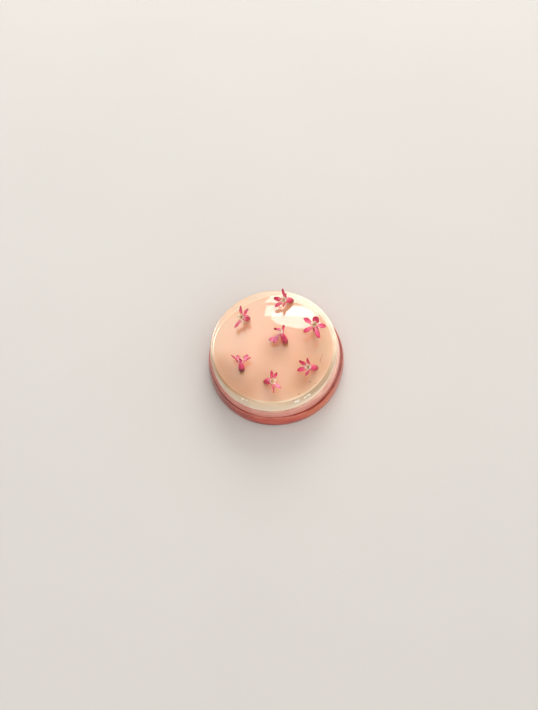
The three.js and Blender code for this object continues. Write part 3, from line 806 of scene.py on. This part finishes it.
# Mouth in mm, the way it faces as an azimuth from +X and an elevation, length of the tube,
# and the sepals: place around the mouth, opening, curl, length, width and twist
BLOSSOMS = {
    "blossom_back": ((8.4, 24.6, 28.2), (201, 46), 6.9, [
        (152, 74, 10, 5.3, 2.4, -20), (-136, 62, 20, 5.9, 2.6, -30), (-88, 52, 10, 5.9, 2.6, 30),
        (-25, 43, 10, 3.3, 2.2, 25), (117, 61, 10, 3.2, 2.0, -35),
    ]),
    "blossom_back_left": ((-16.0, 16.2, 29.5), (204, 55), 6.9, [
        (147, 52, 60, 5.5, 2.5, -30), (103, 84, 15, 4.6, 2.5, -30), (-71, 87, -25, 6.2, 2.7, 35),
        (66, 133, 40, 3.1, 2.6, -60), (26, 131, 40, 3.3, 2.6, 75),
    ]),
    "blossom_right": ((22.6, 6.3, 30.0), (158, 81), 6.9, [
        (-110, 67, 10, 6.0, 2.8, 15), (166, 27, 20, 4.4, 4.4, 0), (102, 101, 10, 5.0, 2.9, 0),
        (32, 98, 10, 6.5, 3.0, -40), (-38, 75, 12, 6.0, 2.7, 0),
    ]),
    "blossom_front_left": ((-19.1, -9.6, 27.3), (89, 34), 5.8, [
        (-23, 42, 6, 6.1, 2.4, 15), (-13, 2, 10, 4.2, 3.0, -40), (84, -2, 30, 2.7, 2.4, -40),
        (-171, 36, 10, 4.7, 3.0, 55), (-169, 62, 6, 4.8, 2.4, 5),
    ]),
    "blossom_front": ((-3.9, -23.1, 28.7), (329, 48), 6.4, [
        (32, 82, 10, 4.5, 2.4, 25), (6, 54, 15, 4.6, 2.4, 25), (-100, 52, 10, 5.2, 2.6, -25),
        (-144, 45, 60, 5.6, 2.2, -50), (99, 102, 50, 2.1, 2.6, 65),
    ]),
    "blossom_front_right": ((17.2, -17.1, 28.0), (192, 46), 6.4, [
        (-150, 59, 12, 5.9, 2.4, -30), (159, 56, 25, 3.9, 2.4, -25), (76, 111, 50, 1.1, 2.6, -55),
        (-26, 46, 10, 4.7, 2.4, 5), (-98, 45, 10, 6.0, 2.6, 5),
    ]),
    "blossom_middle": ((4.4, 4.3, 29.2), (112, 36), 7.4, [
        (164, 19, 15, 4.2, 2.2, -45), (-70, -32, 190, 6.4, 3.0, 40), (-13, 122, -60, 6.9, 2.6, -60),
        (-4, 125, -10, 5.7, 2.5, -70), (79, 125, 50, 3.7, 2.4, 70),
    ]),
}
# How far the anthers stand out of the mouth
STAMEN_REACH = {
    "blossom_back": 3.2, "blossom_back_left": 4.4, "blossom_right": 2.6, "blossom_front_left": 3.2,
    "blossom_front": 3.2, "blossom_front_right": 3.2, "blossom_middle": 2,
}
# The sepals that are pale inside, by their places in the lists above
PALE_INSIDE = {"blossom_front_left": (1, 3), "blossom_front": (2,), "blossom_middle": (2, 3)}


def facing_turn(azimuth, elevation):
    """The turn from a blossom's own frame, with its axis on +Z, to the way it faces."""
    a, e = math.radians(azimuth), math.radians(elevation)
    axis = Vector((math.cos(e) * math.cos(a), math.cos(e) * math.sin(a), math.sin(e)))
    level = Vector((-math.sin(a), math.cos(a), 0))
    return Matrix((level, axis.cross(level), axis)).transposed().to_4x4()


def sepal_width(t):
    """Width of a sepal along its length, as a share of its full width."""
    claw = min(1, SEPAL_CLAW + SEPAL_WIDENS * t)
    past = max(0, (t - SEPAL_WIDEST) / (1 - SEPAL_WIDEST))
    return claw * math.sqrt(max(SEPAL_TIP, 1 - past * past))


def petal_width(t):
    """Width of a petal along its length, as a share of its full width."""
    return 1 - PETAL_TAPER * t * t


def grow_blade(mesh, around, opening, curl, length, width, twist, start, width_at, rows, columns):
    """Adds one thin blade that starts at the mouth and opens away from the blossom's axis, +Z."""
    out = Vector((math.cos(math.radians(around)), math.sin(math.radians(around)), 0))
    level = Vector((-out.y, out.x, 0))
    middle = out * start - Vector((0, 0, BLADE_ROOT_DEPTH))
    line = []
    for row in range(rows + 1):
        t = row / rows
        leaning = math.radians(opening + curl * t)
        along = Vector((0, 0, math.cos(leaning))) + out * math.sin(leaning)
        side = Matrix.Rotation(math.radians(twist * t ** TWIST_FADE), 3, along) @ level
        line.append((middle.copy(), side, along.cross(side), width / 2 * width_at(t)))
        middle += along * length / rows
    grid = bmesh.ops.create_grid(mesh, x_segments=columns, y_segments=rows, size=1, calc_uvs=True)
    for vert in grid["verts"]:
        across, t = vert.co.x, (vert.co.y + 1) / 2
        middle, side, normal, half = line[round(t * rows)]
        lift = BLADE_CUP * half * across * across + BLADE_WAVE * across * math.sin(BLADE_WAVES * t)
        lift -= BLADE_CREASE * math.exp(-(across / CREASE_WIDTH) ** 2) * math.sin(math.pi * t)
        vert.co = (middle - side * across * half + normal * lift) * mm


def petal_material(name, along_stops, edge, streak, depth=0.6, reaches=(1.0, 0.35, 0.45)):
    """Petal skin on the blade's own map: its colour from claw to tip, an edge, and streaks."""
    material, tree, shader = new_material(name, 0.5)
    parts = add(tree, "SeparateXYZ", {"Vector": add(tree, "UVMap", uv_map="blade").outputs["UV"]}).outputs
    colour = ramp(tree, parts["Y"], along_stops)
    aside = reckon(tree, "ABSOLUTE", reckon(tree, "SUBTRACT", parts["X"], 0.5))
    colour = blend(tree, spread(tree, aside, 0.3, 0.52), colour, edge)
    across = reckon(tree, "MULTIPLY", parts["X"], 9.0)
    stretched = add(tree, "CombineXYZ", {"X": across, "Y": parts["Y"]}).outputs[0]
    veins = clouds_over(tree, stretched, 1.6, 3.0)
    colour = blend(tree, spread(tree, veins, 0.55, 0.75), colour, streak)
    tree.links.new(colour, shader.inputs["Base Color"])
    bump = add(tree, "Bump", {"Height": veins, "Strength": 0.4, "Distance": 0.08 * mm})
    tree.links.new(bump.outputs["Normal"], shader.inputs["Normal"])
    shader.inputs["Specular IOR Level"].default_value = 0.25
    let_light_in(shader, 0.9, reaches, depth)
    return material


sepal_inside = petal_material(
    "sepal_inside", [
        (0, paint(244, 200, 188)), (0.2, paint(240, 144, 166)), (0.5, paint(230, 90, 134)),
        (0.8, paint(216, 66, 110)), (1, paint(150, 26, 52)),
    ], edge=paint(178, 30, 64), streak=paint(206, 60, 106),
)
sepal_pale = petal_material(
    "sepal_pale_inside", [
        (0, paint(250, 180, 192)), (0.4, paint(246, 152, 180)), (0.8, paint(240, 138, 168)),
        (0.92, paint(206, 80, 104)), (1, paint(130, 34, 50)),
    ], edge=paint(222, 96, 136), streak=paint(232, 120, 160), depth=0.4, reaches=(1.0, 0.85, 0.9),
)
sepal_outside = petal_material(
    "sepal_outside", [
        (0, paint(240, 124, 156)), (0.5, paint(230, 84, 128)), (0.85, paint(198, 50, 86)),
        (1, paint(124, 24, 44)),
    ], edge=paint(178, 32, 66), streak=paint(214, 62, 108),
)
petal_white = petal_material(
    "petal_white", [(0, paint(255, 206, 176)), (0.6, paint(255, 236, 214)), (1, paint(255, 242, 224))],
    edge=paint(255, 238, 220), streak=paint(255, 222, 196), depth=0.4, reaches=(1.0, 0.9, 0.85),
)


def tube_material(name, base, ring, low=paint(164, 76, 62), swell=paint(170, 48, 68)):
    """Skin of a blossom's tube: the colours of its swollen base, and pinker up to the mouth."""
    material, tree, shader = new_material(name, 0.45)
    parts = add(tree, "SeparateXYZ", {"Vector": add(tree, "UVMap", uv_map="blade").outputs["UV"]}).outputs
    colour = ramp(tree, parts["Y"], [
        (0, base), (0.08, ring), (0.14, low), (0.3, swell), (0.5, paint(210, 48, 86)),
        (0.85, paint(226, 76, 114)), (1, paint(238, 134, 152)),
    ])
    streaks = clouds_over(tree, add(tree, "TexCoord").outputs["Object"], 900.0)
    colour = blend(tree, spread(tree, streaks, 0.58, 1.2), colour, paint(236, 120, 146))
    tree.links.new(colour, shader.inputs["Base Color"])
    let_light_in(shader, 0.25, (1.0, 0.3, 0.3), 0.8)
    return material


green_based_tube = tube_material("green_based_tube", paint(140, 108, 46), paint(178, 128, 64))
brown_based_tube = tube_material(
    "brown_based_tube", paint(150, 118, 50), paint(150, 108, 56),
    low=paint(108, 52, 48), swell=paint(120, 34, 58),
)
red_based_tube = tube_material("red_based_tube", paint(150, 84, 56), paint(172, 70, 66))
TUBE_SKINS = {
    "blossom_middle": green_based_tube,
    "blossom_right": green_based_tube,
    "blossom_front_left": brown_based_tube,
}
throat_skin = mottled("blossom_throat", 0.5, paint(250, 190, 140), paint(240, 160, 116), 0.8)
stamen_skin = mottled("stamen", 0.5, paint(250, 226, 184), paint(244, 206, 164), 0.8)
anther_skin = mottled("anther", 0.6, paint(222, 184, 116), paint(178, 132, 76), 0.4)


def grow_tube(length):
    """The tube of a blossom with its swollen base, open at the mouth as a shallow throat."""
    mesh = bmesh.new()
    outside = [(TUBE_RADIUS * share, -length * down) for share, down in TUBE_OUTLINE]
    line = [mesh.verts.new((radius * mm, 0, height * mm)) for radius, height in outside + MOUTH_OUTLINE]
    edges = [mesh.edges.new(pair) for pair in zip(line, line[1:])]
    bmesh.ops.spin(
        mesh, geom=line + edges, cent=(0, 0, 0), axis=(0, 0, 1), dvec=(0, 0, 0),
        angle=math.tau, steps=TUBE_SIDES, use_merge=True,
    )
    bmesh.ops.remove_doubles(mesh, verts=mesh.verts[:], dist=MERGE * mm)
    bmesh.ops.recalc_face_normals(mesh, faces=mesh.faces[:])
    # The throat has a skin of its own, and the map holds how far up the tube each corner lies
    layer = mesh.loops.layers.uv.new("blade")
    for face in mesh.faces:
        middle = face.calc_center_median() / mm
        if middle.xy.length < THROAT_RADIUS * 1.1 and middle.z > -THROAT_DEPTH * 1.01:
            face.material_index = 1
        for loop in face.loops:
            up = (loop.vert.co.z / mm + length) / length
            loop[layer].uv = (0.5, min(1, max(0, up)))
    return mesh


def grow_sepals(sepals, pale):
    """The five sepals of a blossom, some of them pale inside."""
    mesh = bmesh.new()
    mesh.loops.layers.uv.new("blade")
    for i, sepal in enumerate(sepals):
        before = set(mesh.faces)
        grow_blade(mesh, *sepal, SEPAL_ROOT, sepal_width, 16, 6)
        for face in mesh.faces:
            if face not in before and i in pale:
                face.material_index = 2
    return mesh


def grow_petals():
    """The five small petals of a blossom, which stand between its sepals."""
    mesh = bmesh.new()
    mesh.loops.layers.uv.new("blade")
    for i in range(5):
        grow_blade(
            mesh, 36 + 72 * i, PETAL_OPENING, PETAL_CURL, PETAL_LENGTH, PETAL_WIDTH, 0, PETAL_ROOT,
            petal_width, 5, 4,
        )
    return mesh


def add_filament(mesh, lean, depth, reach, radii, sides):
    """Adds a tapered stalk that runs from a depth in the throat to a reach out of the mouth."""
    bmesh.ops.create_cone(
        mesh, cap_ends=True, segments=sides, radius1=radii[0] * mm, radius2=radii[1] * mm,
        depth=(reach + depth) * mm, matrix=lean @ Matrix.Translation((0, 0, (reach - depth) / 2 * mm)),
    )


def grow_stamens(usual_reach, phase):
    """The five stamens of a blossom with the pistil between them, and the anthers on their own."""
    stamens = bmesh.new()
    anthers = bmesh.new()
    for i in range(5):
        turn = Matrix.Rotation(math.radians(72 * i), 4, "Z") @ Matrix.Translation((STAMEN_ROOT * mm, 0, 0))
        lean = turn @ Matrix.Rotation(STAMEN_LEAN, 4, "Y")
        reach = usual_reach + STAMEN_SPREAD * math.sin(STAMEN_STEP * i + phase)
        add_filament(stamens, lean, STAMEN_ROOT_DEPTH, reach, FILAMENT_RADII, 6)
        bmesh.ops.create_uvsphere(
            anthers, u_segments=8, v_segments=6, radius=ANTHER_RADIUS * mm,
            matrix=lean @ Matrix.Translation((0, 0, reach * mm)) @ Matrix.Diagonal(ANTHER_SHAPE),
        )
    add_filament(stamens, Matrix.Identity(4), THROAT_DEPTH, PISTIL_HEIGHT, PISTIL_RADII, 8)
    return stamens, anthers


def set_down(meshes, mouth, facing):
    """Turns a blossom's meshes the way it faces and sets it down on the glaze."""
    turn = Matrix.Translation(Vector(mouth) * mm) @ facing_turn(*facing)
    for mesh in meshes:
        bmesh.ops.transform(mesh, matrix=turn, verts=mesh.verts[:])
    verts = [vert for mesh in meshes for vert in mesh.verts]
    lowest = min(vert.co.z / mm - glaze_height(vert.co.x / mm, vert.co.y / mm) for vert in verts)
    for mesh in meshes:
        bmesh.ops.translate(mesh, vec=(0, 0, -(lowest + SINKS_IN) * mm), verts=mesh.verts[:])


def thicken(piece, thickness, skin_step):
    """Gives the blades of a piece their thickness and softness, and their far side its own skin."""
    wall = piece.modifiers.new("thickness", "SOLIDIFY")
    wall.thickness = thickness * mm
    wall.offset = 0
    wall.material_offset = skin_step
    soft = piece.modifiers.new("soft", "SUBSURF")
    soft.levels = soft.render_levels = 1


for name, (mouth, facing, tube_length, sepals) in BLOSSOMS.items():
    sepal_mesh = grow_sepals(sepals, PALE_INSIDE.get(name, ()))
    stamen_mesh, anther_mesh = grow_stamens(STAMEN_REACH[name], len(name))
    pieces = {
        "tube": (grow_tube(tube_length), [TUBE_SKINS.get(name, red_based_tube), throat_skin]),
        "sepals": (sepal_mesh, [sepal_inside, sepal_outside, sepal_pale, sepal_outside]),
        "petals": (grow_petals(), [petal_white]),
        "stamens": (stamen_mesh, [stamen_skin]),
        "anthers": (anther_mesh, [anther_skin]),
    }
    set_down([mesh for mesh, materials in pieces.values()], mouth, facing)
    for part, (mesh, materials) in pieces.items():
        piece = make_object(mesh, f"{name}_{part}", materials, 60)
        if part == "sepals":
            thicken(piece, SEPAL_THICKNESS, 1)
        elif part == "petals":
            thicken(piece, PETAL_THICKNESS, 0)
        place_piece(piece, "blossom", name)
